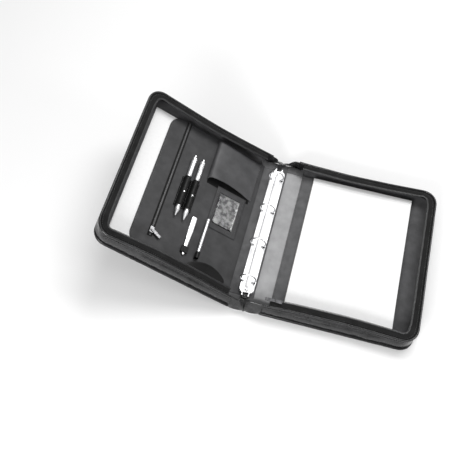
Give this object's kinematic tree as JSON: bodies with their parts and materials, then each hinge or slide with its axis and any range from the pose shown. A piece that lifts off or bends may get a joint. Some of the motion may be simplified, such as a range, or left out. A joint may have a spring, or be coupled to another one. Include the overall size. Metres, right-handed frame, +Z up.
{
  "type": "zip-around ring organiser",
  "caption": "Leather zip-around organiser for A4 paper, open in a shallow V, with a ring mechanism on the spine, a writing pad and an organiser panel with pockets and pens.",
  "frame": {"origin": "middle of the rear cover's underside, which lies on the table", "axes": "+X from the spine towards the free edge of the rear cover, +Y along the spine to its top end, +Z up"},
  "size_m": [0.5924, 0.338, 0.1596],
  "materials": {
    "black_leather": "semi-gloss grained leather",
    "core_board": "hidden stiffener",
    "dark_lining": "dark grey napped lining",
    "light_lining": "light grey lining",
    "panel_leather": "mid grey smooth leather",
    "zip_tape": "woven tape",
    "zip_coil": "moulded teeth",
    "zip_metal": "plated",
    "ring_steel": "bright nickel plate",
    "lever_plastic": "black lever",
    "paper": "white paper",
    "card_back": "grey board",
    "pen_metal": "satin silver",
    "pen_trim": "bright",
    "id_card": "laminated card"
  },
  "bodies": {
    "rear_cover": {"rear_cover_leather": "black_leather", "rear_cover_board": "core_board", "rear_lining": "dark_lining", "rear_tray_wall": "black_leather", "rear_zip_tape": "zip_tape", "rear_zip_teeth": "zip_coil", "pad_sleeve_strip": "dark_lining", "rear_hinge_band": "light_lining"},
    "pad": {"pad_backing": "card_back", "writing_pad": "paper"},
    "main_slider": {"main_zip_slider": "zip_metal"},
    "main_puller": {"main_zip_puller": "zip_metal"},
    "spine": {"spine_leather": "black_leather", "spine_board": "core_board", "spine_lining": "dark_lining", "spine_ends": "black_leather", "ring_plate": "ring_steel", "ring_plate_rivets": "ring_steel", "lever_pins": "ring_steel", "handle_bases": "black_leather", "handle_keepers": "zip_metal"},
    "ring_left": {"ring_half_left": "ring_steel"},
    "ring_right": {"ring_half_right": "ring_steel"},
    "lever_far": {"trigger_lever_far": "lever_plastic"},
    "lever_near": {"trigger_lever_near": "lever_plastic"},
    "handle_grip": {"handle_grip": "black_leather"},
    "handle_arm_far": {"handle_arm_far": "black_leather"},
    "handle_arm_near": {"handle_arm_near": "black_leather"},
    "handle_end_far": {"handle_end_far": "black_leather"},
    "handle_end_near": {"handle_end_near": "black_leather"},
    "front_cover": {"front_outer_pocket": "black_leather", "front_cover_leather": "black_leather", "front_cover_board": "core_board", "front_lining": "dark_lining", "front_tray_wall": "black_leather", "front_zip_tape": "zip_tape", "front_zip_teeth": "zip_coil", "document_sheets": "paper", "organiser_panel": "panel_leather", "front_hinge_band": "light_lining", "lower_pocket": "panel_leather", "phone_pocket": "panel_leather", "card_pocket": "panel_leather", "pocket_zip_tape": "zip_tape", "pocket_zip_teeth": "zip_coil", "pen_sleeves": "panel_leather", "tool_loops": "panel_leather"},
    "identity_card": {"identity_card": "id_card"},
    "pocket_slider": {"pocket_zip_slider": "zip_metal"},
    "pocket_puller": {"pocket_zip_puller": "zip_metal"},
    "pen_1": {"pen_1_barrel": "pen_metal", "pen_1_tip": "pen_trim", "pen_1_clip": "pen_trim"},
    "pen_1_button": {"pen_1_button": "pen_trim"},
    "pen_2": {"pen_2_barrel": "pen_metal", "pen_2_tip": "pen_trim", "pen_2_clip": "pen_trim"},
    "pen_2_button": {"pen_2_button": "pen_trim"},
    "letter_opener": {"letter_opener": "pen_metal"},
    "pencil": {"pencil": "pen_metal"}
  },
  "joints": [
    {"name": "rear_fold", "type": "hinge", "parent": "rear_cover", "child": "spine", "pos_m": [-0.141, 0, 0.007], "axis": [0, 1, 0], "range_deg": [0, 90]},
    {"name": "front_fold", "type": "hinge", "parent": "spine", "child": "front_cover", "pos_m": [-0.197, 0, 0.007], "axis": [0, 1, 0], "range_deg": [-27, 63]},
    {"name": "ring_open", "type": "hinge", "parent": "spine", "child": "ring_left", "pos_m": [-0.1839, 0, 0.0125], "axis": [0, 1, 0], "range_deg": [-22, 0]},
    {"name": "ring_open_right", "type": "hinge", "parent": "spine", "child": "ring_right", "pos_m": [-0.1651, 0, 0.0125], "axis": [0, 1, 0], "range_deg": [0, 22]},
    {"name": "lever_far_press", "type": "hinge", "parent": "spine", "child": "lever_far", "pos_m": [-0.1725, 0.1465, 0.014], "axis": [1, 0, 0], "range_deg": [-22, 0]},
    {"name": "lever_near_press", "type": "hinge", "parent": "spine", "child": "lever_near", "pos_m": [-0.1725, -0.1465, 0.014], "axis": [1, 0, 0], "range_deg": [0, 22]},
    {"name": "handle_lift", "type": "slide", "parent": "spine", "child": "handle_grip", "axis": [0, 0, -1], "range_m": [0, 0.036]},
    {"name": "handle_arm_far_bend", "type": "hinge", "parent": "handle_grip", "child": "handle_arm_far", "pos_m": [-0.169, 0.0305, 0.0036], "axis": [1, 0, 0], "range_deg": [0, 32.8]},
    {"name": "handle_arm_near_bend", "type": "hinge", "parent": "handle_grip", "child": "handle_arm_near", "pos_m": [-0.169, -0.0305, 0.0036], "axis": [1, 0, 0], "range_deg": [-32.8, 0]},
    {"name": "handle_end_far_slide", "type": "slide", "parent": "spine", "child": "handle_end_far", "axis": [0, 1, 0], "range_m": [-0.0094, 0]},
    {"name": "handle_end_near_slide", "type": "slide", "parent": "spine", "child": "handle_end_near", "axis": [0, 1, 0], "range_m": [0, 0.0094]},
    {"name": "pad_slide", "type": "slide", "parent": "rear_cover", "child": "pad", "axis": [-1, 0, 0], "range_m": [-0.022, 0]},
    {"name": "main_zip_run", "type": "slide", "parent": "rear_cover", "child": "main_slider", "axis": [1, 0, 0], "range_m": [0, 0.205]},
    {"name": "main_puller_swing", "type": "hinge", "parent": "main_slider", "child": "main_puller", "pos_m": [-0.1158, -0.1525, 0.0329], "axis": [0, -1, 0], "range_deg": [-95, 0]},
    {"name": "pocket_zip_run", "type": "slide", "parent": "front_cover", "child": "pocket_slider", "axis": [0, 1, 0], "range_m": [0, 0.235]},
    {"name": "pocket_puller_turn", "type": "hinge", "parent": "pocket_slider", "child": "pocket_puller", "pos_m": [-0.35994, -0.106, 0.09911], "axis": [0.454, 0, 0.891], "range_deg": [-40, 70]},
    {"name": "pen_1_slide", "type": "slide", "parent": "front_cover", "child": "pen_1", "axis": [0, -1, 0], "range_m": [-0.07, 0]},
    {"name": "pen_1_click", "type": "slide", "parent": "pen_1", "child": "pen_1_button", "axis": [0, -1, 0], "range_m": [0, 0.003], "stiffness_N_per_m": 150, "springref_m": -0.002},
    {"name": "pen_2_slide", "type": "slide", "parent": "front_cover", "child": "pen_2", "axis": [0, -1, 0], "range_m": [-0.07, 0]},
    {"name": "pen_2_click", "type": "slide", "parent": "pen_2", "child": "pen_2_button", "axis": [0, -1, 0], "range_m": [0, 0.003], "stiffness_N_per_m": 150, "springref_m": -0.002},
    {"name": "letter_opener_slide", "type": "slide", "parent": "front_cover", "child": "letter_opener", "axis": [0, -1, 0], "range_m": [-0.035, 0]},
    {"name": "pencil_slide", "type": "slide", "parent": "front_cover", "child": "pencil", "axis": [0, -1, 0], "range_m": [-0.035, 0]},
    {"name": "identity_card_slide", "type": "slide", "parent": "front_cover", "child": "identity_card", "axis": [0, 1, 0], "range_m": [-0.035, 0]}
  ],
  "couplings": [
    {"joint": "ring_open_right", "follows": "ring_open", "ratio": -1},
    {"joint": "lever_far_press", "follows": "ring_open", "ratio": 1},
    {"joint": "lever_near_press", "follows": "ring_open", "ratio": -1},
    {"joint": "handle_arm_far_bend", "follows": "handle_lift", "rad_per_m": 15.9},
    {"joint": "handle_arm_near_bend", "follows": "handle_lift", "rad_per_m": -15.9},
    {"joint": "handle_end_far_slide", "follows": "handle_lift", "ratio": -0.2611},
    {"joint": "handle_end_near_slide", "follows": "handle_lift", "ratio": 0.2611}
  ]
}
